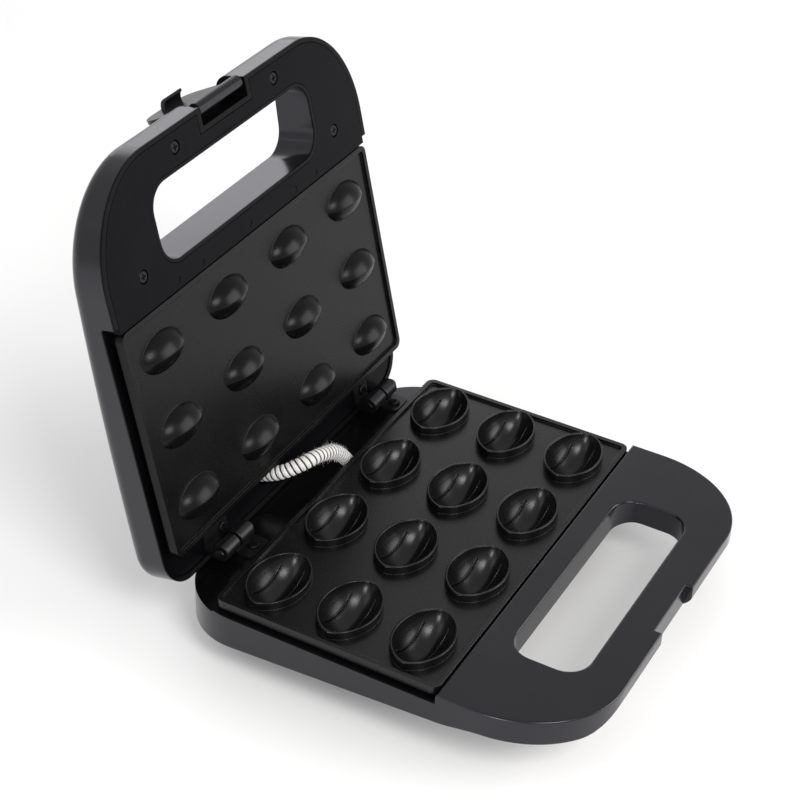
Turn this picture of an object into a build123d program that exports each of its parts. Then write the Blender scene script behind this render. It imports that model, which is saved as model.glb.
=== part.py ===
from build123d import *
import os
from math import atan2, cos, degrees, radians, sin

# Countertop walnut cookie maker: a heated base with twelve raised-rim half-shell
# cavities, a hinged lid with twelve convex dies, a grip loop at the front of each
# half, a flip latch on the lid and a sprung lead between the halves at the back.
# Modelled with the lid standing open on its stop. Millimetres, +Z up,
# -Y is the handle side, +X the right-hand side seen from the handles.

# ---------------------------------------------------------------- dimensions
# frame of the base: centre of the lower plate, height of its lip top
shift_y = -12.799          # puts the middle of the open appliance on the origin
foot_height = 42.0         # lip top above the table

plate_length = 220.0
plate_width = 122.7
plate_corner = 4.5
lip_width = 2.6
lip_height = 1.5
plate_thickness = 3.2

pitch_x = 55.75
pitch_y = 40.5
row_mid_y = 0.6
rim_top = 3.03
# each half shell is the overlap of two eggs set apart across its length, so that it
# comes to a point at both ends and to a soft crease along its middle
bowl_a, bowl_b = 21.50, 17.83        # half length and radius of the two eggs
bowl_apart, bowl_above = 3.57, 3.57  # each egg's offset across, its axis above the rim top
rim_wall = 1.05
shell_a, shell_b = 23.2, 16.6

die_surface = 3.37                    # lid plate surface, lid closed
die_a, die_b = 18.80, 13.534
die_apart, die_sink = 2.2, 5.754

half_x = 113.0
front_y = -135.4
corner_x, corner_y = 65.0, -80.0      # centre of the elliptical front corners
corner_rx, corner_ry = 48.0, 55.4
base_rear_y, base_rear_r = 88.2, 37.0
lid_rear_y, lid_rear_r = 82.4, 18.0
wall = 3.0

handle_top = -0.65
ledge_z = -6.5
deck_z = -8.0
grip_x, grip_y0, grip_y1, grip_r = 68.1, -114.5, -75.5, 12.5
notch_x = 19.3

hinge_y, hinge_z = 76.74, 0.89
open_deg = 102.6
knuckle_r = 4.7
pin_r = 2.0
running_gap = 0.05

panel_z = 2.1
lid_edge_z = 9.7

latch_y, latch_z = -133.2, 6.0
latch_rest_deg = 74.0                 # from +Y towards +Z, in the closed lid's frame
latch_half = 18.0
latch_length = 37.5
latch_barrel = 3.4
latch_t = 2.3

sleeve_r = 3.75

# ---------------------------------------------------------------- planes
base = Plane(origin=(0, shift_y, foot_height), x_dir=(1, 0, 0), z_dir=(0, 0, 1))
base_side = Plane(origin=(0, shift_y, foot_height), x_dir=(0, 1, 0), z_dir=(1, 0, 0))

co, si = cos(radians(-open_deg)), sin(radians(-open_deg))


def opened(x, y, z):
    """point of the closed lid's frame, carried to the open lid"""
    dy, dz = y - hinge_y, z - hinge_z
    return (x, hinge_y + co * dy - si * dz + shift_y, hinge_z + si * dy + co * dz + foot_height)


lid = Plane(origin=opened(0, 0, 0), x_dir=(1, 0, 0), z_dir=(0, -si, co))
lid_side = Plane(origin=opened(0, 0, 0), x_dir=(0, co, si), z_dir=(1, 0, 0))
lid_up = Axis(opened(0, 0, 0), (0, -si, co))

cells = [(i * pitch_x, row_mid_y + j * pitch_y) for i in (-1.5, -0.5, 0.5, 1.5) for j in (-1, 0, 1)]


# ---------------------------------------------------------------- shared shapes
def outline(rear_y, rear_r, ix=0.0, iy=None):
    """plan outline of a housing half, moved inwards by ix at the sides and iy in front"""
    iy = ix if iy is None else iy
    hx, r = half_x - ix, rear_r - ix
    with BuildSketch() as s:
        with BuildLine():
            Line((0, front_y + iy), (corner_x, front_y + iy))
            EllipticalCenterArc((corner_x, corner_y), corner_rx - ix, corner_ry - iy, start_angle=270, arc_size=90)
            Line((hx, corner_y), (hx, rear_y - ix - r))
            CenterArc((hx - r, rear_y - ix - r), r, 0, 90)
            Line((hx - r, rear_y - ix), (0, rear_y - ix))
            mirror(about=Plane.YZ)
        make_face()
    return s.sketch


def half_egg(a, b, rise):
    """lower half of an egg of half length a and round section b, with a prism of height rise on it"""
    with BuildPart() as e:
        with BuildSketch(Plane.XY):
            Ellipse(a, b)
            with Locations((0, b)):
                Rectangle(2 * a + 2, 2 * b, mode=Mode.SUBTRACT)
        revolve(axis=Axis.X, revolution_arc=180)
        with BuildSketch(Plane.XY):
            Ellipse(a, b)
        extrude(amount=rise)
    return e.part


def lower_egg(a, b):
    """lower half of an egg"""
    with BuildPart() as e:
        with BuildSketch(Plane.XY):
            Ellipse(a, b)
            with Locations((0, b)):
                Rectangle(2 * a + 2, 2 * b, mode=Mode.SUBTRACT)
        revolve(axis=Axis.X, revolution_arc=180)
    return e.part


def almond(a, b, apart, crease=0.0):
    """overlap of two half eggs set apart along Y, its crease rounded"""
    with BuildPart() as s:
        with Locations((0, apart, 0)):
            add(lower_egg(a, b))
        with Locations((0, -apart, 0)):
            add(lower_egg(a, b), mode=Mode.INTERSECT)
        if crease:
            low = s.edges().sort_by(lambda e: (e @ 0.5).Z)[0]
            fillet(low, crease)
    return s.part


def almond_outline(a, b, apart, above, grow=0.0):
    """plan outline of an almond, cut at a height above below its axis and grown"""
    k = (1 - (above / b) ** 2) ** 0.5
    with BuildSketch() as s:
        with Locations((0, apart)):
            Ellipse(a * k + grow, b * k + grow)
        with Locations((0, -apart)):
            Ellipse(a * k + grow, b * k + grow, mode=Mode.INTERSECT)
    return s.sketch


def screw(head_r, head_h, shank_r, length):
    """pan head on z = 0 with a cross recess, shank below"""
    with BuildPart() as s:
        with Locations((0, 0, head_h / 2)):
            Cylinder(head_r, head_h)
        fillet(s.edges().group_by(Axis.Z)[-1], head_h * 0.45)
        with Locations((0, 0, head_h)):
            Box(head_r * 1.15, head_r * 0.28, head_h * 1.1, mode=Mode.SUBTRACT)
            Box(head_r * 0.28, head_r * 1.15, head_h * 1.1, mode=Mode.SUBTRACT)
        with Locations((0, 0, -length / 2)):
            Cylinder(shank_r, length)
        fillet(s.edges().group_by(Axis.Z)[0], shank_r * 0.3)
    return s.part


def down(x, y, z):
    """location with the head below and the shank pointing up"""
    return Location((x, y, z), (180, 0, 0))


# ================================================================ BASE
under_points = [(-126, -14.4), (-83, -14.2), (-66, -17.5), (base_rear_y + 2, -27.1)]


def base_profile(top_z, rear, out=0.0):
    """side view of the base below top_z, seen along X"""
    with BuildSketch() as s:
        with BuildLine():
            under = FilletPolyline(*under_points, radius=45)
            bend = RadiusArc((front_y - out, -6.2), (-126, -14.4), -9.2 - out)
            Polyline(bend @ 0, (front_y - out, top_z), (rear, top_z), under @ 1)
        make_face()
    return s.sketch


posts = [(-97, 64), (97, 64)]
grip_posts = [(-90, -98), (90, -98), (-100, -71), (100, -71)]
base_leaf_points = [(-60, 70.7), (86, 70.7)]
lid_leaf_points = [(-66.5, 71.6), (74, 71.2)]
shield_points = [(-66, -32), (66, -32), (-66, 34), (66, 34)]
foot_points = [(-62, -33), (62, -33), (-76, 70), (76, 70)]
plate_screw_points = [(-103.5, -55.5), (103.5, -55.5), (-103.5, 55.5), (103.5, 55.5)]

# inside of the base housing, taken away from the outer block
with BuildPart() as base_hollow:
    with BuildSketch(Plane.XY.offset(-40)):
        add(outline(base_rear_y, base_rear_r, wall))
        with Locations((0, -66 - 100)):
            Rectangle(300, 200, mode=Mode.SUBTRACT)
    extrude(amount=40 - 9.5)
    with BuildSketch(Plane.XY.offset(-40)):
        add(outline(base_rear_y, base_rear_r, wall))
        with Locations((0, -65.0 + 100)):
            Rectangle(300, 200, mode=Mode.SUBTRACT)
        with Locations((0, (grip_y0 + grip_y1) / 2)):
            RectangleRounded(2 * grip_x + 5, grip_y1 - grip_y0 + 5, grip_r + 2.5, mode=Mode.SUBTRACT)
        with Locations((0, -140)):
            Rectangle(2 * notch_x + 6, 23, mode=Mode.SUBTRACT)
    extrude(amount=40 - 3.65)
    with BuildSketch(Plane.XY.offset(-40)):
        with Locations((0, -64.75)):
            Rectangle(203, 3.0)
    extrude(amount=20.0)
    # the heated well stays open to the top, the rear deck and the shelf stay solid
    with BuildSketch(Plane.XY.offset(-9.6)):
        with Locations((0, -2.2)):
            RectangleRounded(209, 118.4, 20)
    extrude(amount=5)
    with Locations(*[(x, y, -10.5) for x, y in posts]):
        Cylinder(3.6, 3, mode=Mode.SUBTRACT)
    with Locations(*[(x, y, -7.5) for x, y in grip_posts]):
        Cylinder(3.6, 9, mode=Mode.SUBTRACT)
    with Locations((0, 62 + 20, -9.5)):
        Box(300, 40, 2.4, mode=Mode.SUBTRACT)

with BuildPart(base) as base_frame:
    with BuildSketch(base.offset(-34)):
        add(outline(base_rear_y, base_rear_r))
    extrude(amount=34 + handle_top)
    with BuildSketch(base_side):
        add(base_profile(handle_top, base_rear_y + 2, 0.5))
        with BuildLine():
            Polyline((-62, handle_top + 1), (-62, ledge_z), (61, ledge_z), (62.5, deck_z),
                     (base_rear_y + 3, deck_z), (base_rear_y + 3, handle_top + 1), close=True)
        make_face(mode=Mode.SUBTRACT)
    extrude(amount=130, both=True, mode=Mode.INTERSECT)
    add(base_hollow.part, mode=Mode.SUBTRACT)
    # grip opening, front notch and lead opening
    with BuildSketch(base.offset(5)):
        with Locations((0, (grip_y0 + grip_y1) / 2)):
            RectangleRounded(2 * grip_x, grip_y1 - grip_y0, grip_r)
        with Locations((0, -131.5 - 5)):
            Rectangle(2 * notch_x, 10)
    extrude(amount=-45, mode=Mode.SUBTRACT)
    with Locations((29.2, 66.4, -6)):
        Cylinder(6.0, 12, mode=Mode.SUBTRACT)
    with Locations(*[(x, y, -8) for x, y in plate_screw_points]):
        Cylinder(1.7, 8, mode=Mode.SUBTRACT)
    with Locations(*[(x, y, -12) for x, y in posts]):
        Cylinder(1.25, 8, mode=Mode.SUBTRACT)
    with Locations(*[(x, y, -12) for x, y in grip_posts]):
        Cylinder(1.25, 14, mode=Mode.SUBTRACT)
    # screw holes of the hinge leaves
    with Locations(*[(x, y, -9.5) for x, y in base_leaf_points]):
        Cylinder(1.3, 6, mode=Mode.SUBTRACT)
    # cable gland hole in the rear wall
    with Locations(Location((-40, base_rear_y - 1.5, -17.5), (90, 0, 0))):
        Cylinder(5.2, 8, mode=Mode.SUBTRACT)
    top_edges = base_frame.faces().filter_by(Axis.Z).group_by(Axis.Z)[-1].edges()
    fillet(top_edges, 1.0)
base_frame.part.label = "base_frame"

# bottom cover: closes the handle from below and forms the belly
with BuildPart(base) as base_bottom:
    with BuildSketch(base.offset(-34)):
        add(outline(base_rear_y, base_rear_r, wall + 0.2))
        with Locations((0, (grip_y0 + grip_y1) / 2)):
            RectangleRounded(2 * grip_x + 5.4, grip_y1 - grip_y0 + 5.4, grip_r + 2.7, mode=Mode.SUBTRACT)
        with Locations((0, -140.2)):
            Rectangle(2 * notch_x + 6.4, 23.8, mode=Mode.SUBTRACT)
    extrude(amount=34 - 12.0)
    with BuildSketch(base_side):
        add(base_profile(-5, base_rear_y + 2, 0.5))
    extrude(amount=130, both=True, mode=Mode.INTERSECT)
    with BuildSketch(base.offset(-15.5)):
        with Locations((0, 10)):
            RectangleRounded(202, 144, 30)
    extrude(amount=-22.5, taper=40)
    # hollow of the belly
    with BuildSketch(base.offset(-12)):
        with Locations((0, 10)):
            RectangleRounded(203, 141, 30)
    extrude(amount=-4)
    with Locations((-76, 70, -29), (76, 70, -29)):
        Cone(9.0, 12.0, 18)
    with BuildSketch(base.offset(-11)):
        with Locations((0, 10)):
            RectangleRounded(196, 136, 27)
    extrude(amount=-5.1, mode=Mode.SUBTRACT)
    with BuildSketch(base.offset(-16)):
        with Locations((0, 10)):
            RectangleRounded(196, 138, 27)
    extrude(amount=-19.5, taper=40, mode=Mode.SUBTRACT)
    # bosses of the heat shield, holes of the cover screws and of the feet
    with Locations(*[(x, y, -29.5) for x, y in shield_points]):
        Cylinder(3.2, 13.3)
    with Locations(*[(x, y, -23) for x, y in shield_points]):
        Cylinder(1.2, 16, mode=Mode.SUBTRACT)
    with Locations(*[(x, y, -20) for x, y in posts + grip_posts]):
        Cylinder(1.6, 40, mode=Mode.SUBTRACT)
    with Locations(*[(x, y, -34) for x, y in posts]):
        Cylinder(3.4, 36, mode=Mode.SUBTRACT)
    with Locations(*[(x, y, -18) for x, y in grip_posts[2:]]):
        Cylinder(3.4, 6, mode=Mode.SUBTRACT)
    with Locations(Location((-40, base_rear_y - 4, -17.5), (90, 0, 0))):
        Cylinder(5.7, 24, mode=Mode.SUBTRACT)
    with Locations(*[(x, y, -37) for x, y in foot_points]):
        Cylinder(2.45, 8, mode=Mode.SUBTRACT)
base_bottom.part.label = "base_bottom"

# ---------------------------------------------------------------- lower plate
with BuildPart() as shell_bottom:
    add(half_egg(shell_a, shell_b, 0.5))
    with Locations((0, 0, 10 - rim_top - lip_height - 0.5)):
        Box(60, 60, 20, mode=Mode.SUBTRACT)
with BuildPart(base) as lower_plate:
    with BuildSketch(base.offset(-lip_height)):
        RectangleRounded(plate_length, plate_width, plate_corner)
    extrude(amount=-plate_thickness)
    with BuildSketch(base.offset(-lip_height)):
        RectangleRounded(plate_length, plate_width, plate_corner)
        RectangleRounded(plate_length - 2 * lip_width, plate_width - 2 * lip_width, plate_corner - 2.0, mode=Mode.SUBTRACT)
    extrude(amount=lip_height)
    with BuildSketch(base.offset(-lip_height - 0.5)):
        with Locations(*cells):
            add(almond_outline(bowl_a, bowl_b, bowl_apart, bowl_above, rim_wall))
    extrude(amount=rim_top + lip_height + 0.5)
    with Locations(*[(x, y, rim_top) for x, y in cells]):
        add(shell_bottom.part)
    bowl = almond(bowl_a, bowl_b, bowl_apart, 7.0)
    with Locations(*[(x, y, rim_top + bowl_above) for x, y in cells]):
        add(bowl, mode=Mode.SUBTRACT)
    # corner pads that rest on the shelf of the housing
    with Locations(*[(x, y, (ledge_z - lip_height - plate_thickness) / 2) for x, y in plate_screw_points]):
        Cylinder(4.2, abs(ledge_z + lip_height + plate_thickness))
    with Locations(*[(x, y, ledge_z) for x, y in plate_screw_points]):
        Cylinder(1.25, 7.0, mode=Mode.SUBTRACT)
    # small radii: rim tops, rim feet, lip, skirt
    fillet(lower_plate.edges().group_by(Axis.Z)[-1], 0.42)
lower_plate.part.label = "lower_plate"

# fine mould seams along each shell half
with BuildPart() as seam_groove:
    add(almond(bowl_a + 0.4, bowl_b + 0.4, bowl_apart))
    with Locations(Location((1.4, 7.4, -8), (0, 0, -3.6))):
        Box(24.4, 0.5, 18, mode=Mode.INTERSECT)
with BuildPart() as seam_ridge:
    add(almond(bowl_a + 0.3, bowl_b + 0.3, bowl_apart))
    add(almond(bowl_a - 0.35, bowl_b - 0.35, bowl_apart), mode=Mode.SUBTRACT)
    with Locations(Location((1.6, 8.0, -8), (0, 0, -3.6))):
        Box(24.4, 0.5, 18, mode=Mode.INTERSECT)
with BuildPart() as seam_ridge_low:
    add(almond(bowl_a + 0.3, bowl_b + 0.3, bowl_apart))
    add(almond(bowl_a - 0.4, bowl_b - 0.4, bowl_apart), mode=Mode.SUBTRACT)
    with Locations(Location((4.2, -3.9, -8), (0, 0, -7.6))):
        Box(22.0, 0.55, 18, mode=Mode.INTERSECT)
with BuildPart() as plate_seams:
    add(lower_plate.part)
    with Locations(*[(x, y + shift_y, rim_top + bowl_above + foot_height) for x, y in cells]):
        add(seam_groove.part, mode=Mode.SUBTRACT)
        add(seam_ridge.part)
        add(seam_ridge_low.part)
lower_plate = plate_seams
lower_plate.part.label = "lower_plate"

# ================================================================ LID
lid_top = [(-140, 19.3), (-30, 27.9), (88, 31.0)]   # crown of the lid, one long arc
carrier_points = [(-60, -59.6), (60, -59.6), (-45, 59.3), (45, 59.3)]
lamp_points = [(-9, -58), (9, -58)]
panel_screw_points = [(-42.7, -125.3), (42.7, -125.3), (-85.3, -79.3), (85.3, -79.3)]


def lid_profile(drop, low_front, low_rear, step_y):
    """side view of the lid, its top lowered by drop"""
    with BuildSketch() as s:
        with BuildLine():
            top = ThreePointArc(*[(y, z - drop) for y, z in lid_top])
            Polyline(top @ 0, (lid_top[0][0], low_front), (step_y, low_front), (step_y, low_rear),
                     (lid_top[-1][0], low_rear), top @ 1)
        make_face()
    return s.sketch


with BuildPart() as lid_hollow:
    with BuildSketch(Plane.XY.offset(-5)):
        add(outline(lid_rear_y, lid_rear_r, 2.9, 2.3))
    extrude(amount=45)
    with BuildSketch(Plane(origin=(0, 0, 0), x_dir=(0, 1, 0), z_dir=(1, 0, 0))):
        add(lid_profile(2.8, -2.0, -2.2, 0))
    extrude(amount=130, both=True, mode=Mode.INTERSECT)
    roof = lid_hollow.faces().sort_by(Axis.Z)[-1]
    fillet(roof.edges(), 6.0)
    # walls of the grip opening and of the notch, bosses of the panel screws
    with BuildSketch(Plane.XY.offset(-6)):
        with Locations((0, (grip_y0 + grip_y1) / 2)):
            RectangleRounded(2 * grip_x + 3.6, grip_y1 - grip_y0 + 3.6, grip_r + 1.8)
        with Locations((0, -137.2)):
            Rectangle(2 * notch_x + 5.8, 28)
    extrude(amount=50, mode=Mode.SUBTRACT)
    with Locations(*[(x, y, 20) for x, y in panel_screw_points]):
        Cylinder(4.0, 29.4, mode=Mode.SUBTRACT)
    with Locations(*[(x, y, 28.2) for x, y in carrier_points]):
        Cylinder(3.4, 30, mode=Mode.SUBTRACT)
    with Locations(*[(x, y, 34.8) for x, y in shield_points]):
        Cylinder(3.2, 30, mode=Mode.SUBTRACT)

with BuildPart(lid) as lid_shell:
    with BuildSketch(lid.offset(-1)):
        add(outline(lid_rear_y, lid_rear_r))
    extrude(amount=40)
    with BuildSketch(lid_side):
        add(lid_profile(0, panel_z, lid_edge_z, -65.5))
    extrude(amount=130, both=True, mode=Mode.INTERSECT)
    roof = lid_shell.faces().sort_by(lid_up)[-1]
    fillet(roof.edges(), 8.5)
    add(lid_hollow.part, mode=Mode.SUBTRACT)
    with BuildSketch(lid.offset(-5)):
        with Locations((0, (grip_y0 + grip_y1) / 2)):
            RectangleRounded(2 * grip_x, grip_y1 - grip_y0, grip_r)
        with Locations((0, -125.8 - 10)):
            Rectangle(2 * notch_x, 20)
    extrude(amount=50, mode=Mode.SUBTRACT)
    with Locations(Location((0, latch_y, latch_z), (0, 90, 0))):
        Cylinder(1.2, 2 * 23, mode=Mode.SUBTRACT)
    with Locations(*[(x, y, 11) for x, y in panel_screw_points]):
        Cylinder(1.2, 12, mode=Mode.SUBTRACT)
    with Locations(*[(x, y, 16) for x, y in carrier_points]):
        Cylinder(1.0, 10, mode=Mode.SUBTRACT)
    with Locations(*[(x, y, 21) for x, y in shield_points]):
        Cylinder(1.2, 6, mode=Mode.SUBTRACT)
    with Locations(*[(x, y, 25) for x, y in lamp_points]):
        Cylinder(3.25, 14, mode=Mode.SUBTRACT)
lid_shell.part.label = "lid_shell"

# inset panel under the handle of the lid
with BuildPart(lid) as lid_inner_panel:
    with BuildSketch(lid.offset(panel_z)):
        add(outline(lid_rear_y, lid_rear_r, 3.25, 2.65))
        with Locations((0, -62 + 100)):
            Rectangle(300, 200, mode=Mode.SUBTRACT)
        with Locations((0, (grip_y0 + grip_y1) / 2)):
            RectangleRounded(2 * grip_x + 4.2, grip_y1 - grip_y0 + 4.2, grip_r + 2.1, mode=Mode.SUBTRACT)
        with Locations((0, -137.2)):
            Rectangle(2 * notch_x + 6.6, 28.8, mode=Mode.SUBTRACT)
    extrude(amount=3)
    with BuildSketch(lid.offset(panel_z)):
        with Locations((0, -63.2)):
            Rectangle(2 * 109.6, 2.4)
    extrude(amount=8.0)
    with Locations(*[(x, y, panel_z) for x, y in panel_screw_points]):
        Cylinder(3.5, 3.0, mode=Mode.SUBTRACT)
        Cylinder(1.7, 12, mode=Mode.SUBTRACT)
    with Locations((-42, -65.5, panel_z), (42, -65.5, panel_z), (0, -66.5, panel_z), (-62, -66, panel_z), (62, -66, panel_z)):
        Cylinder(1.6, 0.5, mode=Mode.SUBTRACT)
lid_inner_panel.part.label = "lid_inner_panel"

# carrier behind the upper plate: shelf and rear deck with the hinge seats
with BuildPart(lid) as lid_carrier:
    with BuildSketch(lid.offset(10.4)):
        add(outline(lid_rear_y, lid_rear_r, 3.1, 3.1))
        with Locations((0, -64.6 - 100)):
            Rectangle(300, 200, mode=Mode.SUBTRACT)
        RectangleRounded(209, 114, 12, mode=Mode.SUBTRACT)
    extrude(amount=2.6)
    with BuildSketch(lid.offset(10.4)):
        with Locations((-22.8, 68.1)):
            Circle(5.4)
    extrude(amount=5, mode=Mode.SUBTRACT)
    with Locations(*[(x, y, 11.5) for x, y in plate_screw_points]):
        Cylinder(1.7, 8, mode=Mode.SUBTRACT)
    with Locations(*[(x, y, 11.5) for x, y in lid_leaf_points]):
        Cylinder(1.3, 8, mode=Mode.SUBTRACT)
    with Locations(*[(x, y, 11.5) for x, y in carrier_points]):
        Cylinder(1.1, 8, mode=Mode.SUBTRACT)
lid_carrier.part.label = "lid_carrier"

with BuildPart() as die:
    add(almond(die_a, die_b, die_apart, 0.8))
    with Locations((0, 0, 10 + plate_thickness - die_sink)):
        Box(60, 60, 20, mode=Mode.SUBTRACT)
with BuildPart(lid) as upper_plate:
    with BuildSketch(lid.offset(die_surface)):
        RectangleRounded(plate_length, plate_width, plate_corner)
    extrude(amount=plate_thickness)
    with BuildSketch(lid.offset(die_surface)):
        RectangleRounded(plate_length, plate_width, plate_corner)
        RectangleRounded(plate_length - 2 * lip_width, plate_width - 2 * lip_width, plate_corner - 2.0, mode=Mode.SUBTRACT)
    extrude(amount=-lip_height)
    with Locations(*[Location((x, y, die_surface + die_sink)) for x, y in cells]):
        add(die.part)
    with Locations(*[Location((x, y, die_surface + die_sink)) for x, y in cells]):
        add(almond(die_a - 2.6, die_b - 2.6, die_apart), mode=Mode.SUBTRACT)
    with Locations(*[(x, y, (10.4 + die_surface + plate_thickness) / 2) for x, y in plate_screw_points]):
        Cylinder(4.2, 10.4 - die_surface - plate_thickness)
    with Locations(*[(x, y, 10.4) for x, y in plate_screw_points]):
        Cylinder(1.25, 9.0, mode=Mode.SUBTRACT)
upper_plate.part.label = "upper_plate"

# ---------------------------------------------------------------- hinges
def leaf(x0, x1, fx0, fx1, root_z, flange_y0, flange_y1, screw_point, bore):
    """knuckle with its web and its screwed flange; root_z is the face it is screwed to"""
    up = 1 if root_z < hinge_z else -1
    flange_t = 1.6
    with BuildPart() as s:
        with BuildSketch(Plane.YZ.offset(x0)):
            with Locations((hinge_y, hinge_z)):
                Circle(knuckle_r)
            with BuildLine():
                Polyline((75.4, root_z + up * flange_t), (75.4, hinge_z), (80.9, hinge_z),
                         (80.4, root_z + up * flange_t), close=True)
            make_face()
        extrude(amount=x1 - x0)
        with BuildSketch(Plane.XY.offset(root_z)):
            with Locations(((fx0 + fx1) / 2, (flange_y0 + flange_y1) / 2)):
                RectangleRounded(fx1 - fx0, flange_y1 - flange_y0, 2.5)
        extrude(amount=up * flange_t)
        with Locations(Location(((x0 + x1) / 2, hinge_y, hinge_z), (0, 90, 0))):
            Cylinder(bore, x1 - x0 + 2, mode=Mode.SUBTRACT)
        with Locations((screw_point[0], screw_point[1], root_z)):
            Cylinder(1.45, 8, mode=Mode.SUBTRACT)
        fillet(s.edges().filter_by(GeomType.CIRCLE).filter_by(lambda e: abs(e.radius - knuckle_r) < 0.01), 0.5)
    return s.part


base_hinge_z = deck_z
lid_hinge_z = 10.4
with BuildPart(base) as base_hinge_left:
    add(leaf(-68, -57, -68.3, -52, base_hinge_z, 66.2, 80.5, base_leaf_points[0], pin_r + 0.02))
base_hinge_left.part.label = "base_hinge_left"
with BuildPart(base) as base_hinge_right:
    add(leaf(80, 90.5, 79.7, 94, base_hinge_z, 66.2, 80.5, base_leaf_points[1], pin_r + 0.02))
base_hinge_right.part.label = "base_hinge_right"
with BuildPart(lid) as lid_hinge_left:
    add(leaf(-81, -69.6, -81, -61.5, lid_hinge_z, 66.0, 79.2, lid_leaf_points[0], pin_r + running_gap))
lid_hinge_left.part.label = "lid_hinge_left"
with BuildPart(lid) as lid_hinge_right:
    add(leaf(67, 78.5, 66.7, 79.4, lid_hinge_z, 66.0, 79.2, lid_leaf_points[1], pin_r + running_gap))
lid_hinge_right.part.label = "lid_hinge_right"

with BuildPart(base) as hinge_pins:
    with Locations(Location((-69.0, hinge_y, hinge_z), (0, 90, 0)), Location((78.75, hinge_y, hinge_z), (0, 90, 0))):
        Cylinder(pin_r, 26.4)
    with Locations(*[Location((x, hinge_y, hinge_z), (0, 90, 0)) for x in (-82.4, -55.9, 65.5, 92.0)]):
        Cylinder(3.0, 1.2)
hinge_pins.part.label = "hinge_pins"

with BuildPart(base) as base_hinge_screws:
    with Locations(*[(x, y, base_hinge_z + 1.6) for x, y in base_leaf_points]):
        add(screw(2.9, 1.5, 1.2, 7.0))
base_hinge_screws.part.label = "base_hinge_screws"
with BuildPart(lid) as lid_hinge_screws:
    with Locations(*[down(x, y, lid_hinge_z - 1.6) for x, y in lid_leaf_points]):
        add(screw(2.9, 1.5, 1.2, 7.0))
lid_hinge_screws.part.label = "lid_hinge_screws"

# ---------------------------------------------------------------- latch
la = radians(latch_rest_deg)


def lid_vector(y, z):
    """direction of the closed lid's frame, carried to the open lid"""
    return (0, co * y - si * z, si * y + co * z)


# its own frame: origin on the pivot, +X along it, +Z along the plate, hook towards -Y
latch = Plane(origin=opened(0, latch_y, latch_z), x_dir=(1, 0, 0), z_dir=lid_vector(cos(la), sin(la)))
with BuildPart(latch) as latch_clip:
    with Locations(Location((0, 0, 0), (0, 90, 0))):
        Cylinder(latch_barrel, 2 * latch_half)
    with Locations((0, 0, latch_length / 2)):
        Box(2 * latch_half, latch_t, latch_length)
    corners = latch_clip.edges().filter_by(Axis(latch.origin, latch.y_dir)).sort_by(Axis(latch.origin, latch.z_dir))[-2:]
    fillet(corners, 11.0)
    # hook with a lead-in nose
    with BuildSketch(Plane(origin=latch.origin, x_dir=latch.y_dir, z_dir=latch.x_dir)):
        with BuildLine():
            Spline((0, 29.9), (-3.7, 29.5), (-6.2, 27.8), (-7.2, 24.9))
            Line((-7.2, 24.9), (-6.0, 24.5))
            Spline((-6.0, 24.5), (-4.7, 26.3), (-2.9, 27.1), (0, 27.3))
            Line((0, 27.3), (0, 29.9))
        make_face()
    extrude(amount=6.8, both=True)
    with Locations(Location((0, 0, 0), (0, 90, 0))):
        Cylinder(1.2 + running_gap, 50, mode=Mode.SUBTRACT)
latch_clip.part.label = "latch_clip"
with BuildPart(lid) as latch_pin:
    with Locations(Location((0, latch_y, latch_z), (0, 90, 0))):
        Cylinder(1.18, 45)
latch_pin.part.label = "latch_pin"

# ---------------------------------------------------------------- lead between the halves
lead_points = [Vector(35.5, 66.6, -20), Vector(19.0, 66.3, 6.2), Vector(-4, 67.2, 16.2)]
lead_points = [p + Vector(0, shift_y, foot_height) for p in lead_points]
lead_points += [Vector(*opened(-13.5, 64.4, -8.0)), Vector(*opened(-22.3, 67.6, 4.0)), Vector(*opened(-23.3, 68.4, 19.0))]
lead_radii = []
for p, q, r in zip(lead_points, lead_points[1:], lead_points[2:]):
    turn = (q - p).get_angle(r - q)
    lead_radii.append(0.45 * min((q - p).length, (r - q).length) / (sin(radians(turn / 2)) / cos(radians(turn / 2))))
print("lead radii", [round(v, 1) for v in lead_radii])
with BuildPart() as lead_sleeve:
    with BuildLine() as sleeve_path:
        FilletPolyline(*lead_points, radius=lead_radii)
    with BuildSketch(Plane(origin=sleeve_path.line @ 0, z_dir=sleeve_path.line % 0)):
        Circle(sleeve_r)
        Circle(2.5, mode=Mode.SUBTRACT)
    sweep(path=sleeve_path.line)
lead_sleeve.part.label = "lead_sleeve"
sleeve_length = sleeve_path.wires()[0].length
print("sleeve length", round(sleeve_length, 1), "volume", round(lead_sleeve.part.volume, 1),
      "section x length", round(3.14159265 * (sleeve_r ** 2 - 2.5 ** 2) * sleeve_length, 1))
core_points = list(lead_points)
core_points[0] = core_points[0] + (core_points[0] - core_points[1]).normalized() * 4
core_points[-1] = core_points[-1] + (core_points[-1] - core_points[-2]).normalized() * 3
with BuildPart() as lead_core:
    with BuildLine() as core_path:
        FilletPolyline(*core_points, radius=lead_radii)
    with BuildSketch(Plane(origin=core_path.line @ 0, z_dir=core_path.line % 0)):
        Circle(2.2)
    sweep(path=core_path.line)
lead_core.part.label = "lead_core"
print("core length", round(core_path.wires()[0].length, 1), "volume", round(lead_core.part.volume, 1),
      "section x length", round(3.14159265 * 2.2 ** 2 * core_path.wires()[0].length, 1))

# ---------------------------------------------------------------- heating parts of the base
element_r = 3.25


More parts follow.
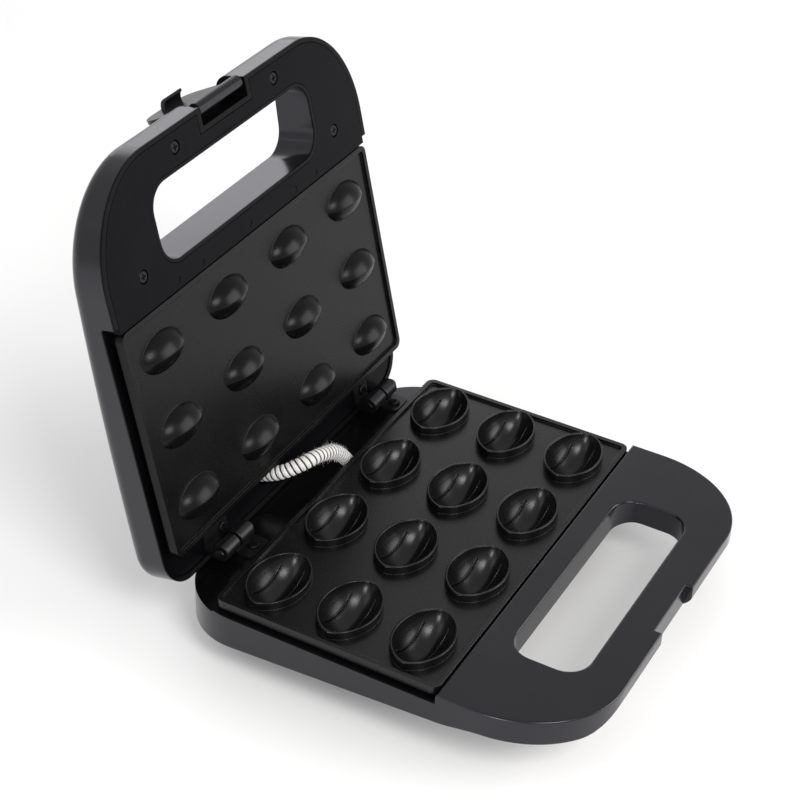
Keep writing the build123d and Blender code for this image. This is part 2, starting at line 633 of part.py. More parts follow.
def element(z, z_end, y_front, y_bend, y_tail):
    """tubular heater bent to a U, its tails stepped away from the plate"""
    x = pitch_x
    with BuildPart() as s:
        with BuildLine() as route:
            FilletPolyline((-x, y_tail, z_end), (-x, y_bend + 11, z_end), (-x, y_bend, z), (-x, y_front, z),
                           (x, y_front, z), (x, y_bend, z), (x, y_bend + 11, z_end), (x, y_tail, z_end),
                           radius=[7, 7, 14, 14, 7, 7])
        with BuildSketch(Plane(origin=route.line @ 0, z_dir=route.line % 0)):
            Circle(element_r)
        sweep(path=route.line)
    return s.part


def terminals(z, y):
    """ceramic bead and pin at each tail of a heater"""
    with BuildPart() as s:
        with Locations(*[Location((x, y + 2, z), (90, 0, 0)) for x in (-pitch_x, pitch_x)]):
            Cylinder(2.9, 4)
        with Locations(*[Location((x, y + 5, z), (90, 0, 0)) for x in (-pitch_x, pitch_x)]):
            Cylinder(1.2, 4)
    return s.part


def clamps(z_plate, z_element, points):
    """saddle strips that hold a heater against its plate"""
    up = 1 if z_element > z_plate else -1
    with BuildPart() as s:
        for x, y in points:
            with BuildSketch(Plane.XZ.offset(-y - 4)):
                with Locations((x, z_element)):
                    Circle(element_r + 1.1)
                    with Locations((0, -up * 5)):
                        Rectangle(20, 10, mode=Mode.SUBTRACT)
                with Locations((x, (z_plate + z_element) / 2)):
                    Rectangle(2 * element_r + 2.2, abs(z_plate - z_element))
                with Locations((x, z_element)):
                    Circle(element_r + 0.1, mode=Mode.SUBTRACT)
                with Locations((x, (z_plate + z_element) / 2)):
                    Rectangle(2 * element_r + 0.2, abs(z_plate - z_element) + 0.2, mode=Mode.SUBTRACT)
            extrude(amount=8)
    return s.part


lower_under = -lip_height - plate_thickness
with BuildPart(base) as lower_element:
    add(element(lower_under - element_r - 0.05, -16.0, -57.0, 46.0, 66.0))
lower_element.part.label = "lower_heating_element"
with BuildPart(base) as lower_terminals:
    add(terminals(-16.0, 66.0))
lower_terminals.part.label = "lower_element_terminals"
with BuildPart(base) as lower_clamps:
    add(clamps(lower_under, lower_under - element_r - 0.05, [(-pitch_x, 20.85), (pitch_x, 20.85), (-pitch_x, -19.65), (pitch_x, -19.65)]))
lower_clamps.part.label = "lower_element_clamps"

upper_back = die_surface + plate_thickness
with BuildPart(lid) as upper_element:
    add(element(upper_back + element_r + 0.05, 20.0, -52.5, 44.0, 66.0))
upper_element.part.label = "upper_heating_element"
with BuildPart(lid) as upper_terminals:
    add(terminals(20.0, 66.0))
upper_terminals.part.label = "upper_element_terminals"
with BuildPart(lid) as upper_clamps:
    add(clamps(upper_back, upper_back + element_r + 0.05, [(-pitch_x, 20.85), (pitch_x, 20.85), (-pitch_x, -19.65), (pitch_x, -19.65)]))
upper_clamps.part.label = "upper_element_clamps"


def shield(z, up, points):
    """folded heat shield, its rims bent towards the heater"""
    with BuildPart() as s:
        with BuildSketch(Plane.XY.offset(z)):
            RectangleRounded(160, 84, 6)
        extrude(amount=up * 6)
        with BuildSketch(Plane.XY.offset(z + up * 0.8)):
            RectangleRounded(158.4, 82.4, 5.2)
        extrude(amount=up * 8, mode=Mode.SUBTRACT)
        with Locations(*[(x, y, z) for x, y in points]):
            Cylinder(1.45, 6, mode=Mode.SUBTRACT)
    return s.part


with BuildPart(base) as lower_shield:
    add(shield(-22.8, 1, shield_points))
lower_shield.part.label = "lower_heat_shield"
with BuildPart(lid) as upper_shield:
    add(shield(19.8, -1, shield_points))
upper_shield.part.label = "upper_heat_shield"
with BuildPart(base) as lower_shield_screws:
    with Locations(*[(x, y, -22.0) for x, y in shield_points]):
        add(screw(2.6, 1.5, 1.15, 7.0))
lower_shield_screws.part.label = "lower_shield_screws"
with BuildPart(lid) as upper_shield_screws:
    with Locations(*[down(x, y, 19.0) for x, y in shield_points]):
        add(screw(2.6, 1.5, 1.15, 4.5))
upper_shield_screws.part.label = "upper_shield_screws"

# ---------------------------------------------------------------- fasteners of the plates and covers
with BuildPart(base) as lower_plate_screws:
    with Locations(*[down(x, y, -9.5) for x, y in plate_screw_points]):
        add(screw(2.7, 1.6, 1.2, 6.2))
lower_plate_screws.part.label = "lower_plate_screws"
with BuildPart(lid) as upper_plate_screws:
    with Locations(*[(x, y, 13.0) for x, y in plate_screw_points]):
        add(screw(2.7, 1.6, 1.2, 6.2))
upper_plate_screws.part.label = "upper_plate_screws"
with BuildPart(lid) as lid_panel_screws:
    with Locations(*[down(x, y, panel_z + 1.5) for x, y in panel_screw_points]):
        add(screw(3.0, 1.35, 1.15, 11.0))
lid_panel_screws.part.label = "lid_panel_screws"
with BuildPart(lid) as lid_carrier_screws:
    with Locations(*[down(x, y, 10.4) for x, y in carrier_points]):
        add(screw(2.2, 1.2, 0.95, 8.0))
lid_carrier_screws.part.label = "lid_carrier_screws"
with BuildPart(base) as cover_screws:
    with Locations(*[down(x, y, -16.0) for x, y in posts]):
        add(screw(2.7, 1.4, 1.2, 7.5))
    with Locations(*[down(x, y, -14.35) for x, y in grip_posts[:2]], *[down(x, y, -15.0) for x, y in grip_posts[2:]]):
        add(screw(2.7, 1.4, 1.2, 8.5))
cover_screws.part.label = "cover_screws"

# ---------------------------------------------------------------- small parts
with BuildPart(base) as thermostat:
    with Locations((0, 20.85, lower_under - 0.05 - 3.0)):
        Cylinder(8.0, 6.0)
    with Locations((0, 20.85, lower_under - 0.05 - 7.0)):
        Cylinder(5.5, 2.0)
thermostat.part.label = "thermostat"
with BuildPart(base) as thermal_fuse:
    with Locations(Location((0, -19.65, lower_under - 2.3), (0, 90, 0))):
        Cylinder(2.2, 14)
        Cylinder(0.8, 24)
thermal_fuse.part.label = "thermal_fuse"
with BuildPart(base) as terminal_block:
    with Locations((0, 54, -31.0)):
        Box(30, 11, 9)
    with Locations((-9, 54, -27), (0, 54, -27), (9, 54, -27)):
        Cylinder(2.2, 3, mode=Mode.SUBTRACT)
terminal_block.part.label = "terminal_block"
with BuildPart(base) as cord_gland:
    with Locations(Location((-40, base_rear_y - 1.0, -17.5), (90, 0, 0))):
        Cylinder(5.1, 7.0)
    with Locations(Location((-40, base_rear_y + 1.3, -17.5), (90, 0, 0))):
        Cylinder(7.4, 2.6)
    fillet(cord_gland.edges().sort_by(Axis.Y)[-1], 1.0)
    with Locations(Location((-40, base_rear_y, -17.5), (90, 0, 0))):
        Cylinder(3.6, 14, mode=Mode.SUBTRACT)
cord_gland.part.label = "cord_gland"
with BuildPart(base) as rubber_feet:
    with Locations(*[(x, y, -40) for x, y in foot_points]):
        Cylinder(7.5, 4)
    fillet(rubber_feet.edges().group_by(Axis.Z)[0], 0.8)
    with Locations(*[(x, y, -36.5) for x, y in foot_points]):
        Cylinder(2.4, 3.2)
rubber_feet.part.label = "rubber_feet"
roof_z = 26.45


def lens():
    with BuildPart() as s:
        with Locations((0, 0, (roof_z + 1.0 + 21.0) / 2)):
            Cylinder(3.15, roof_z + 1.0 - 21.0)
        fillet(s.edges().group_by(Axis.Z)[-1], 0.9)
        with Locations((0, 0, 21.6)):
            Cylinder(4.6, 1.2)
    return s.part


with BuildPart(lid) as power_lens:
    with Locations(lamp_points[0]):
        add(lens())
power_lens.part.label = "power_lens"
with BuildPart(lid) as ready_lens:
    with Locations(lamp_points[1]):
        add(lens())
ready_lens.part.label = "ready_lens"

pieces = [base_frame, base_bottom, lower_plate, lower_element, lower_terminals, lower_clamps, lower_shield,
          lower_shield_screws, lower_plate_screws, cover_screws, thermostat, thermal_fuse, terminal_block,
          cord_gland, rubber_feet, base_hinge_left, base_hinge_right, hinge_pins, base_hinge_screws,
          lid_shell, lid_inner_panel, lid_carrier, upper_plate, upper_element, upper_terminals, upper_clamps,
          upper_shield, upper_shield_screws, upper_plate_screws, lid_panel_screws, lid_carrier_screws,
          lid_hinge_left, lid_hinge_right, lid_hinge_screws, latch_pin, power_lens, ready_lens,
          latch_clip, lead_sleeve, lead_core]
os.makedirs("parts", exist_ok=True)
for piece in pieces:
    export_step(piece.part, "parts/" + piece.part.label + ".step")
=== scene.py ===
import bpy, bmesh, math
from mathutils import Vector, Matrix, Quaternion


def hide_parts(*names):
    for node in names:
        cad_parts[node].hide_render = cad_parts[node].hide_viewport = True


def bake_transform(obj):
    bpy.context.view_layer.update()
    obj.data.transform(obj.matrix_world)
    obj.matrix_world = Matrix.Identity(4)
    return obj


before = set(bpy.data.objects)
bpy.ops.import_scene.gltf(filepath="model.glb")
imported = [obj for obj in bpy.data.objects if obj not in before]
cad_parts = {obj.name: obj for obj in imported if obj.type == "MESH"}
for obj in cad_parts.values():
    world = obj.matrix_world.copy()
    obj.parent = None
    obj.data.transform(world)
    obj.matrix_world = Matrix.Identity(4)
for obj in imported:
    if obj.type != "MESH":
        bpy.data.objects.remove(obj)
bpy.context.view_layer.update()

# ------------------------------------------------------------------ frame of the appliance
SY, SZ = -0.012799, 0.042                     # plate centre and lip height in the row frame
HY, HZ = 0.07674, 0.00089                    # hinge axis
A = math.radians(-102.6)
CO, SI = math.cos(A), math.sin(A)


def D(x, y, z):
    """millimetres from the lower plate's centre -> metres in the row frame"""
    return Vector((x / 1000, y / 1000 + SY, z / 1000 + SZ))


def L(x, y, z):
    """millimetres in the closed lid's frame -> the open lid, in metres"""
    dy, dz = y / 1000 - HY, z / 1000 - HZ
    return Vector((x / 1000, HY + CO * dy - SI * dz + SY, HZ + SI * dy + CO * dz + SZ))


# ------------------------------------------------------------------ camera
cam_data = bpy.data.cameras.new("camera")
cam_data.sensor_width = 36.0
cam_data.lens = 88.328
cam_data.clip_start, cam_data.clip_end = 0.01, 50.0
cam = bpy.data.objects.new("camera", cam_data)
bpy.context.scene.collection.objects.link(cam)
right = Vector((0.4867105, -0.8730032, 0.0312788))
down = Vector((-0.4932108, -0.3041719, -0.8149985))
ahead = Vector((0.7210104, 0.3812413, -0.5786182))
R = Matrix((right, -down, -ahead)).transposed()
cam.matrix_world = Matrix.Translation(D(-704.04, -350.27, 630.89)) @ R.to_4x4()
bpy.context.scene.camera = cam
bpy.context.scene.view_settings.view_transform = "Standard"
bpy.context.scene.view_settings.look = "None"

# ------------------------------------------------------------------ node helpers


def material(name, base, rough, spec=0.5, metallic=0.0, coat=0.0, coat_rough=0.03, sheen=0.0):
    m = bpy.data.materials.new(name)
    m.use_nodes = True
    nt = m.node_tree
    nt.nodes.clear()
    out = nt.nodes.new("ShaderNodeOutputMaterial")
    b = nt.nodes.new("ShaderNodeBsdfPrincipled")
    nt.links.new(b.outputs[0], out.inputs[0])
    b.inputs["Base Color"].default_value = (*base, 1)
    b.inputs["Roughness"].default_value = rough
    b.inputs["Metallic"].default_value = metallic
    b.inputs["Specular IOR Level"].default_value = spec
    b.inputs["Coat Weight"].default_value = coat
    b.inputs["Coat Roughness"].default_value = coat_rough
    b.inputs["Sheen Weight"].default_value = sheen
    return m, nt, b


def coords(nt, scale=(1, 1, 1)):
    tc = nt.nodes.new("ShaderNodeTexCoord")
    mp = nt.nodes.new("ShaderNodeMapping")
    mp.inputs["Scale"].default_value = scale
    nt.links.new(tc.outputs["Object"], mp.inputs["Vector"])
    return mp.outputs[0]


def noise(nt, vec, scale, detail=3.0, rough=0.55):
    n = nt.nodes.new("ShaderNodeTexNoise")
    n.inputs["Scale"].default_value = scale
    n.inputs["Detail"].default_value = detail
    n.inputs["Roughness"].default_value = rough
    nt.links.new(vec, n.inputs["Vector"])
    return n.outputs["Fac"]


def voronoi(nt, vec, scale, feature="F1"):
    n = nt.nodes.new("ShaderNodeTexVoronoi")
    n.feature = feature
    n.inputs["Scale"].default_value = scale
    nt.links.new(vec, n.inputs["Vector"])
    return n.outputs["Distance"]


def remap(nt, fac, a, b, c=0.0, d=1.0):
    n = nt.nodes.new("ShaderNodeMapRange")
    n.inputs["From Min"].default_value = c
    n.inputs["From Max"].default_value = d
    n.inputs["To Min"].default_value = a
    n.inputs["To Max"].default_value = b
    nt.links.new(fac, n.inputs["Value"])
    return n.outputs[0]


def mix_colour(nt, fac, a, b):
    n = nt.nodes.new("ShaderNodeMix")
    n.data_type = "RGBA"
    for sock, val in ((n.inputs[6], a), (n.inputs[7], b)):
        if isinstance(val, tuple):
            sock.default_value = (*val, 1)
        else:
            nt.links.new(val, sock)
    if isinstance(fac, float):
        n.inputs[0].default_value = fac
    else:
        nt.links.new(fac, n.inputs[0])
    return n.outputs[2]


def math_node(nt, op, a, b=None):
    n = nt.nodes.new("ShaderNodeMath")
    n.operation = op
    for i, v in enumerate((a, b)):
        if v is None:
            continue
        if isinstance(v, (int, float)):
            n.inputs[i].default_value = v
        else:
            nt.links.new(v, n.inputs[i])
    return n.outputs[0]


def bump(nt, b, height, strength, distance, chain=None):
    n = nt.nodes.new("ShaderNodeBump")
    n.inputs["Strength"].default_value = strength
    n.inputs["Distance"].default_value = distance
    nt.links.new(height, n.inputs["Height"])
    if chain is not None:
        nt.links.new(chain, n.inputs["Normal"])
    nt.links.new(n.outputs[0], b.inputs["Normal"])
    return n.outputs[0]


def soft_edges(nt, b, radius):
    """edges that catch the light as if broken by a small radius"""
    n = nt.nodes.new("ShaderNodeBevel")
    n.samples = 4
    n.inputs["Radius"].default_value = radius
    nt.links.new(n.outputs[0], b.inputs["Normal"])
    return n.outputs[0]


def plastic(name, base, light, rough, spread, spec=0.5, grain=0.0, coat=0.0, coat_rough=0.05, edge=0.0004, tint=(0.98, 0.96, 1.08), inside=None):
    """moulded plastic: slight cloudiness of the skin, fine grain, faint rub marks"""
    m, nt, b = material(name, base, rough, spec=spec, coat=coat, coat_rough=coat_rough)
    b.inputs["Specular Tint"].default_value = (*tint, 1)
    round_n = soft_edges(nt, b, edge)
    v = coords(nt)
    cloud = noise(nt, v, 22.0, 4.0)
    rub = noise(nt, coords(nt, (1, 0.12, 1)), 420.0, 2.0)
    fine = noise(nt, v, 2600.0, 2.0)
    nt.links.new(mix_colour(nt, remap(nt, cloud, 0.0, 1.0, 0.3, 0.7), base, light), b.inputs["Base Color"])
    r = math_node(nt, "ADD", remap(nt, cloud, rough - spread, rough + spread, 0.3, 0.7),
                  remap(nt, rub, -0.02, 0.02, 0.3, 0.7))
    nt.links.new(r, b.inputs["Roughness"])
    if inside is not None:
        # the parting faces of the lid are less glossy than its outside
        tc = nt.nodes.new("ShaderNodeTexCoord")
        dots = []
        for axis in ((0, -SI, CO), (0, CO, SI)):
            n = nt.nodes.new("ShaderNodeVectorMath")
            n.operation = "DOT_PRODUCT"
            n.inputs[1].default_value = axis
            nt.links.new(tc.outputs["Object"], n.inputs[0])
            dots.append(n.outputs["Value"])
        zero = L(0, 0, 0)
        high, along = zero.y * -SI + zero.z * CO, zero.y * CO + zero.z * SI
        front = remap(nt, dots[0], 0.0, 1.0, high + 0.0026, high + 0.0034)
        rear = remap(nt, dots[0], 0.0, 1.0, high + 0.0102, high + 0.0110)
        behind = remap(nt, dots[1], 0.0, 1.0, along - 0.0650, along - 0.0645)
        gate = math_node(nt, "ADD", math_node(nt, "MULTIPLY", front, math_node(nt, "SUBTRACT", 1.0, behind)),
                         math_node(nt, "MULTIPLY", rear, behind))
        nt.links.new(remap(nt, gate, inside * spec, spec), b.inputs["Specular IOR Level"])
    n1 = bump(nt, b, noise(nt, v, 60.0, 2.0), 0.05, 0.0006, round_n)
    if grain:
        bump(nt, b, fine, grain, 0.00005, n1)
    return m


# ------------------------------------------------------------------ materials
M = {}
M["shell"] = plastic("shell_gloss", (0.0018, 0.0018, 0.0021), (0.0030, 0.0029, 0.0033), 0.20, 0.03, spec=0.46, grain=0.12, tint=(0.98, 0.96, 1.09))
M["lid"] = plastic("lid_gloss", (0.0018, 0.0018, 0.0021), (0.0030, 0.0029, 0.0033), 0.20, 0.03, spec=0.50, grain=0.12, tint=(0.98, 0.96, 1.08), inside=0.12)
M["panel"] = plastic("panel_black", (0.0022, 0.0022, 0.0028), (0.0034, 0.0033, 0.0042), 0.22, 0.03, spec=0.04, grain=0.15)
M["bottom"] = plastic("bottom_black", (0.008, 0.008, 0.009), (0.012, 0.012, 0.013), 0.48, 0.05, spec=0.4, grain=0.8)
M["hinge"] = plastic("hinge_black", (0.004, 0.004, 0.0043), (0.0065, 0.0063, 0.0065), 0.32, 0.05, spec=0.28, grain=0.2)
M["latch"] = plastic("latch_black", (0.003, 0.003, 0.0034), (0.0045, 0.0045, 0.005), 0.32, 0.03, spec=0.30, grain=0.1)


def coated(name, spec):
    """sprayed non-stick coating over cast aluminium: fine orange peel, speckle, soft sheen"""
    m, nt, b = material(name, (0.003, 0.003, 0.003), 0.30, spec=spec)
    b.inputs["Specular Tint"].default_value = (1.0, 0.98, 1.03, 1)
    v = coords(nt)
    round_n = soft_edges(nt, b, 0.00055)
    cloud = noise(nt, v, 30.0, 4.0)
    speck = voronoi(nt, v, 1500.0)
    nt.links.new(mix_colour(nt, remap(nt, cloud, 0, 1, 0.3, 0.7), (0.0020, 0.0019, 0.0018), (0.0036, 0.0034, 0.0032)), b.inputs["Base Color"])
    r = math_node(nt, "ADD", remap(nt, cloud, 0.25, 0.31, 0.3, 0.7), remap(nt, speck, 0.03, -0.03, 0.0, 0.8))
    nt.links.new(r, b.inputs["Roughness"])
    # rubbed edges shine more than the flats
    geo = nt.nodes.new("ShaderNodeNewGeometry")
    turn = nt.nodes.new("ShaderNodeVectorMath")
    turn.operation = "DOT_PRODUCT"
    nt.links.new(round_n, turn.inputs[0])
    nt.links.new(geo.outputs["Normal"], turn.inputs[1])
    nt.links.new(remap(nt, turn.outputs["Value"], spec + 0.14, spec, 0.84, 0.97), b.inputs["Specular IOR Level"])
    n1 = bump(nt, b, noise(nt, v, 500.0, 2.0), 0.03, 0.00010, round_n)
    bump(nt, b, speck, 0.015, 0.00004, n1)
    return m


M["coated"] = coated("nonstick_coating", 0.34)
M["coated_lid"] = coated("nonstick_coating_lid", 0.15)


def steel(name, base, rough, stretch=(1, 1, 12)):
    m, nt, b = material(name, base, rough, metallic=1.0)
    brush = noise(nt, coords(nt, stretch), 900.0, 3.0)
    nt.links.new(mix_colour(nt, remap(nt, brush, 0, 1, 0.3, 0.7), tuple(c * 0.8 for c in base), tuple(min(1, c * 1.15) for c in base)), b.inputs["Base Color"])
    nt.links.new(remap(nt, brush, rough - 0.08, rough + 0.1, 0.3, 0.7), b.inputs["Roughness"])
    bump(nt, b, brush, 0.12, 0.00004)
    return m


M["screw_black"] = plastic("screw_black_oxide", (0.003, 0.003, 0.003), (0.006, 0.0058, 0.0056), 0.30, 0.08, spec=0.14, grain=0.3, edge=0.0002)
M["steel"] = steel("zinc_steel", (0.55, 0.55, 0.57), 0.32)
M["sheet"] = steel("sheet_steel", (0.60, 0.60, 0.60), 0.38, (1, 14, 1))
M["heater"] = steel("heater_tube", (0.30, 0.28, 0.26), 0.45)
M["rubber"] = plastic("foot_rubber", (0.016, 0.016, 0.016), (0.026, 0.026, 0.026), 0.75, 0.06, spec=0.25, grain=1.0)


def ceramic(name):
    m, nt, b = material(name, (0.80, 0.77, 0.70), 0.55)
    v = coords(nt)
    n = noise(nt, v, 300.0, 4.0)
    nt.links.new(mix_colour(nt, remap(nt, n, 0, 1, 0.3, 0.7), (0.74, 0.70, 0.62), (0.86, 0.84, 0.79)), b.inputs["Base Color"])
    bump(nt, b, n, 0.3, 0.0001)
    return m


M["ceramic"] = ceramic("steatite")


def lens(name, base, glow):
    m, nt, b = material(name, base, 0.12, spec=0.6, coat=0.6)
    v = coords(nt)
    ring = noise(nt, v, 700.0, 2.0)
    nt.links.new(mix_colour(nt, remap(nt, ring, 0, 1, 0.3, 0.7), base, glow), b.inputs["Base Color"])
    b.inputs["Transmission Weight"].default_value = 0.25
    bump(nt, b, ring, 0.2, 0.0001)
    return m


M["red"] = lens("lens_red", (0.42, 0.015, 0.012), (0.62, 0.03, 0.02))
M["green"] = lens("lens_green", (0.02, 0.28, 0.05), (0.04, 0.45, 0.09))

assign = {
    "shell": ["base_frame"],
    "lid": ["lid_shell"],
    "panel": ["lid_inner_panel", "lid_carrier"],
    "bottom": ["base_bottom"],
    "hinge": ["base_hinge_left", "base_hinge_right", "lid_hinge_left", "lid_hinge_right", "cord_gland"],
    "latch": ["latch_clip"],
    "coated": ["lower_plate"],
    "coated_lid": ["upper_plate"],
    "heater": ["lower_heating_element", "upper_heating_element"],
    "ceramic": ["lower_element_terminals", "upper_element_terminals", "terminal_block"],
    "sheet": ["lower_element_clamps", "upper_element_clamps", "lower_heat_shield", "upper_heat_shield", "thermostat", "thermal_fuse"],
    "steel": ["lower_shield_screws", "upper_shield_screws", "lower_plate_screws", "upper_plate_screws", "cover_screws", "lid_carrier_screws", "latch_pin"],
    "screw_black": ["base_hinge_screws", "lid_hinge_screws", "lid_panel_screws", "hinge_pins"],
    "rubber": ["rubber_feet"],
    "red": ["power_lens"],
    "green": ["ready_lens"],
}
for key, names in assign.items():
    for n in names:
        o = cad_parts[n]
        o.data.materials.clear()
        o.data.materials.append(M[key])

# ------------------------------------------------------------------ lead sleeve: braid, spring and stray fibres
route = [D(35.5, 66.6, -20), D(19.0, 66.3, 6.2), D(-4, 67.2, 16.2), L(-13.5, 64.4, -8.0), L(-22.3, 67.6, 4.0), L(-23.3, 68.4, 19.0)]


def smooth_path(points, steps):
    """points along the one smooth curve that has these as its control points"""
    cu = bpy.data.curves.new("route", "CURVE")
    cu.dimensions = "3D"
    sp = cu.splines.new("NURBS")
    sp.points.add(len(points) - 1)
    for p, q in zip(sp.points, points):
        p.co = (*q, 1)
    sp.order_u = 3
    sp.use_endpoint_u = True
    sp.resolution_u = steps
    ob = bpy.data.objects.new("route", cu)
    bpy.context.scene.collection.objects.link(ob)
    me = bpy.data.meshes.new_from_object(ob)
    pts = [v.co.copy() for v in me.vertices]
    bpy.data.meshes.remove(me)
    bpy.data.objects.remove(ob)
    bpy.data.curves.remove(cu)
    return pts


raw = smooth_path(route, 40)
dist = [0.0]
for p, q in zip(raw, raw[1:]):
    dist.append(dist[-1] + (q - p).length)
total = dist[-1]


def at(s):
    """point at length s along the route"""
    s = min(max(s, 0.0), total)
    lo_, hi_ = 0, len(dist) - 1
    while hi_ - lo_ > 1:
        mid = (lo_ + hi_) // 2
        if dist[mid] <= s:
            lo_ = mid
        else:
            hi_ = mid
    t = (s - dist[lo_]) / max(dist[hi_] - dist[lo_], 1e-9)
    return raw[lo_].lerp(raw[hi_], t)


def frames(n):
    """n+1 frames along the route with a steady turn"""
    out = []
    prev = None
    for i in range(n + 1):
        s = total * i / n
        p = at(s)
        t = (at(s + 0.0004) - at(s - 0.0004)).normalized()
        if prev is None:
            side = t.orthogonal().normalized()
        else:
            side = (prev - t * prev.dot(t)).normalized()
        prev = side
        out.append((p, side, t.cross(side).normalized()))
    return out


def mesh_object(name, verts, faces, mat, smooth=True):
    me = bpy.data.meshes.new(name)
    me.from_pydata([tuple(v) for v in verts], [], faces)
    me.update()
    ob = bpy.data.objects.new(name, me)
    bpy.context.scene.collection.objects.link(ob)
    for p in me.polygons:
        p.use_smooth = smooth
    me.materials.append(mat)
    return ob


def braid_material(name):
    """woven glass-fibre sleeve: crossing bundles of fibre, warm white, slightly soiled"""
    m, nt, b = material(name, (0.8, 0.78, 0.74), 0.75, spec=0.3, sheen=0.4)
    v = coords(nt)
    fine = noise(nt, v, 1800.0, 4.0, 0.7)
    patch = noise(nt, v, 130.0, 3.0)
    col = mix_colour(nt, remap(nt, fine, 0, 1, 0.3, 0.7), (0.50, 0.49, 0.47), (0.82, 0.81, 0.79))
    col = mix_colour(nt, remap(nt, patch, 0.0, 0.35, 0.45, 0.75), col, (0.62, 0.58, 0.52))
    nt.links.new(col, b.inputs["Base Color"])
    bump(nt, b, fine, 0.7, 0.0003)
    return m


M["braid"] = braid_material("glass_fibre_braid")
# painted shade: the spring wire is coloured near black, far darker than plain steel, to stand in for the shadow lines
# beside each turn
M["spring"] = steel("spring_steel_painted_shade", (0.055, 0.055, 0.058), 0.38)


def swept_tube(name, radius_fn, n_len, n_round, mat):
    fr = frames(n_len)
    verts, faces = [], []
    for i, (p, u, w) in enumerate(fr):
        for j in range(n_round):
            a = 2 * math.pi * j / n_round
            r = radius_fn(total * i / n_len, a)
            verts.append(p + u * (math.cos(a) * r) + w * (math.sin(a) * r))
    for i in range(n_len):
        for j in range(n_round):
            k = (j + 1) % n_round
            faces.append((i * n_round + j, i * n_round + k, (i + 1) * n_round + k, (i + 1) * n_round + j))
    faces.append(tuple(range(n_round))[::-1])
    faces.append(tuple(n_len * n_round + j for j in range(n_round)))
    return mesh_object(name, verts, faces, mat)


PITCH = 0.0028


def braid_radius(s, a):
    """the sleeve bulges between the turns of the spring, and its strands cross"""
    phase = (s / PITCH - a / (2 * math.pi)) % 1.0
    bulge = 0.00084 * math.sin(math.pi * phase) ** 0.55
    strand = 0.00010 * math.sin(a * 9 + s * 3300) * math.sin(a * 9 - s * 3300)
    return 0.00296 + bulge + strand


sleeve = swept_tube("lead_braid", braid_radius, 520, 40, M["braid"])


def helix(name, radius, wire, pitch, phase0, mat, ring=8, per_turn=26, trim=0.0):
    turns = (total - 2 * trim) / pitch
    n = int(turns * per_turn)
    fr = frames(700)
    verts, faces = [], []

    def centre(i):
        s = trim + (total - 2 * trim) * i / n
        f = s / total * 700
        k = min(int(f), 699)
        t = f - k
        p = fr[k][0].lerp(fr[k + 1][0], t)
        u = fr[k][1].lerp(fr[k + 1][1], t).normalized()
        w = fr[k][2].lerp(fr[k + 1][2], t).normalized()
        a = 2 * math.pi * (s / pitch) + phase0
        o = u * math.cos(a) + w * math.sin(a)
        return p + o * radius, o

    for i in range(n + 1):
        c, o = centre(i)
        q = centre(min(i + 1, n))[0] - centre(max(i - 1, 0))[0]
        t = q.normalized()
        o = (o - t * o.dot(t)).normalized()
        b = t.cross(o)
        for j in range(ring):
            a = 2 * math.pi * j / ring
            verts.append(c + o * (math.cos(a) * wire) + b * (math.sin(a) * wire))
    for i in range(n):
        for j in range(ring):
            k = (j + 1) % ring
            faces.append((i * ring + j, i * ring + k, (i + 1) * ring + k, (i + 1) * ring + j))
    faces.append(tuple(range(ring))[::-1])
    faces.append(tuple(n * ring + j for j in range(ring)))
    return mesh_object(name, verts, faces, mat)


spring = helix("lead_spring", 0.00316, 0.00055, PITCH, 0.0, M["spring"])

# stray fibres that stand off the braid
import random
rng = random.Random(7)
fv, ff = [], []
fr = frames(200)
for k in range(760):
    i = rng.randint(55, 150) if k % 3 == 0 else rng.randint(56, 98)
    p, u, w = fr[i]
    t = u.cross(w)
    a = rng.uniform(0, 2 * math.pi)
    o = u * math.cos(a) + w * math.sin(a)
    side = -u * math.sin(a) + w * math.cos(a)
    length = rng.uniform(0.0007, 0.0019) if rng.random() < 0.86 else rng.uniform(0.0019, 0.0032)
    d = (o * rng.uniform(0.5, 1.0) + t * rng.uniform(-0.8, 0.8) + side * rng.uniform(-0.8, 0.8)).normalized()
    root = p + o * 0.00345
    mid = root + d * length * 0.6
    tip = root + d * length + side * rng.uniform(-0.0004, 0.0004)
    h = 0.000045
    b0 = len(fv)
    for c, r in ((root, h), (mid, h * 0.8), (tip, h * 0.4)):
        for j in range(3):
            ang = 2 * math.pi * j / 3
            fv.append(c + side * (math.cos(ang) * r) + t * (math.sin(ang) * r))
    for lvl in range(2):
        for j in range(3):
            q = (j + 1) % 3
            ff.append((b0 + lvl * 3 + j, b0 + lvl * 3 + q, b0 + lvl * 3 + 3 + q, b0 + lvl * 3 + 3 + j))
    ff.append((b0 + 2, b0 + 1, b0))
    ff.append((b0 + 6, b0 + 7, b0 + 8))
fibres = mesh_object("lead_fibres", fv, ff, M["braid"])

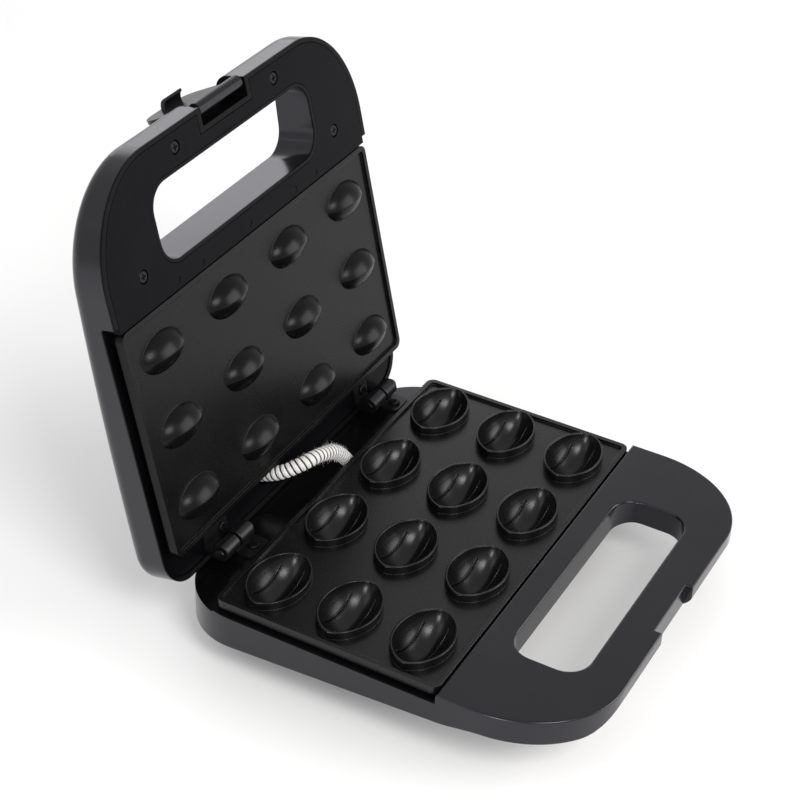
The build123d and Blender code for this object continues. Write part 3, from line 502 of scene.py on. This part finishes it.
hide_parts("lead_sleeve", "lead_core")
for ob in (sleeve, spring, fibres):
    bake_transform(ob)

# ------------------------------------------------------------------ stage
me = bpy.data.meshes.new("floor")
me.from_pydata([(-6, -6, -0.0004), (6, -6, -0.0004), (6, 6, -0.0004), (-6, 6, -0.0004)], [], [(0, 1, 2, 3)])
floor = bpy.data.objects.new("floor", me)
bpy.context.scene.collection.objects.link(floor)
fm, nt, b = material("floor_pale", (0.90, 0.90, 0.90), 0.9, spec=0.1)
n = noise(nt, coords(nt), 6.0, 2.0)
nt.links.new(mix_colour(nt, n, (0.87, 0.87, 0.87), (0.89, 0.89, 0.89)), b.inputs["Base Color"])
me.materials.append(fm)

world = bpy.data.worlds.new("studio")
bpy.context.scene.world = world
world.use_nodes = True
wt = world.node_tree
wt.nodes.clear()
wo = wt.nodes.new("ShaderNodeOutputWorld")
bg = wt.nodes.new("ShaderNodeBackground")
bg.inputs[0].default_value = (1.0, 1.0, 1.0, 1)
bg.inputs[1].default_value = 0.70
wt.links.new(bg.outputs[0], wo.inputs[0])


def area(name, where, to, size, power, size_y=None, colour=(1, 1, 1)):
    ld = bpy.data.lights.new(name, "AREA")
    ld.shape = "RECTANGLE"
    ld.size = size
    ld.size_y = size_y or size
    ld.energy = power
    ld.color = colour
    ob = bpy.data.objects.new(name, ld)
    bpy.context.scene.collection.objects.link(ob)
    ob.location = where
    ob.rotation_mode = "QUATERNION"
    ob.rotation_quaternion = (Vector(to) - Vector(where)).to_track_quat("-Z", "Y")
    return ob


area("front_left", (-0.78, -1.14, 1.49), (0, 0, 0.05), 0.7, 17, colour=(1.0, 0.985, 0.97))
area("front_right", (0.86, -1.60, 0.72), (0, 0, 0.05), 1.3, 23, colour=(1.0, 0.98, 0.96))
area("low_left", (-1.75, -0.20, 0.56), (0, 0, 0.05), 0.5, 12)
area("back_right", (1.42, 1.16, 0.74), (0, 0, 0.12), 1.4, 4.6, size_y=0.8, colour=(0.96, 0.96, 1.0))
area("left", (-1.6, 1.0, 1.5), (0, 0, 0.05), 1.2, 4)
